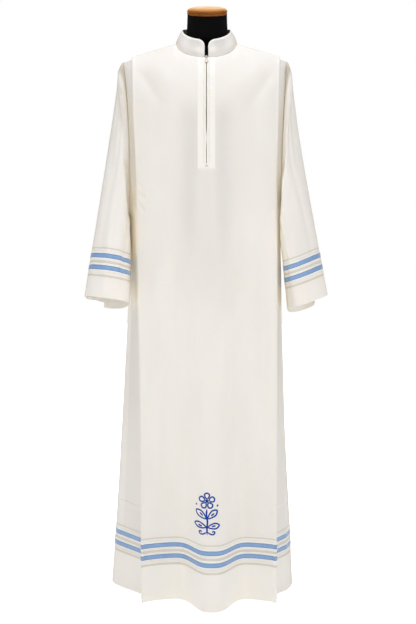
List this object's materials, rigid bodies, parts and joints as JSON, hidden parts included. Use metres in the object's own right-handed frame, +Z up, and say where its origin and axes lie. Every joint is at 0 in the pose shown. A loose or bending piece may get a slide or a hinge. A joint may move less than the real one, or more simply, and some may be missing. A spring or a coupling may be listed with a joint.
{
  "type": "alb robe on a dress form",
  "caption": "Long cream liturgical robe with stand collar, zip front, box pleats and blue ribbon bands, standing open below on a limbless dress form",
  "frame": {"origin": "on the floor under the base plate, on the plane of the shoulder seams", "axes": "+X to the right seen from the front, +Y to the back, +Z up; the front faces -Y"},
  "size_m": [0.6563, 0.4401, 1.6077],
  "materials": {
    "cream_cloth": "light matt plain weave, ivory, soft folds",
    "blue_satin": "light blue satin ribbon with a slight sheen",
    "zip_tape_cloth": "woven zip tape, ivory",
    "nickel": "polished nickel-plated zip metal",
    "black_jersey": "black knitted jersey, stretched smooth",
    "turned_wood": "lacquered beech, orange-brown edge",
    "steel_tube": "brushed steel tube",
    "black_iron": "black powder-coated iron"
  },
  "bodies": {
    "robe_and_form": {"robe_front": "cream_cloth", "robe_back": "cream_cloth", "sleeve_left": "cream_cloth", "sleeve_right": "cream_cloth", "stand_collar": "cream_cloth", "zip_facing": "cream_cloth", "hem_ribbon_lower_front": "blue_satin", "hem_ribbon_upper_front": "blue_satin", "hem_ribbon_lower_back": "blue_satin", "hem_ribbon_upper_back": "blue_satin", "sleeve_ribbon_lower_left": "blue_satin", "sleeve_ribbon_upper_left": "blue_satin", "sleeve_ribbon_lower_right": "blue_satin", "sleeve_ribbon_upper_right": "blue_satin", "zip_tape": "zip_tape_cloth", "zip_chain": "nickel", "zip_slider": "nickel", "form_torso": "black_jersey", "neck_cap": "turned_wood", "form_pole": "steel_tube", "base_plate": "black_iron"},
    "pull_tab": {"zip_pull": "nickel"}
  },
  "joints": [
    {"name": "pull_tab_hinge", "type": "hinge", "parent": "robe_and_form", "child": "pull_tab", "pos_m": [0, -0.08749, 1.46685], "axis": [-1, 0, 0], "range_deg": [0, 150]}
  ]
}
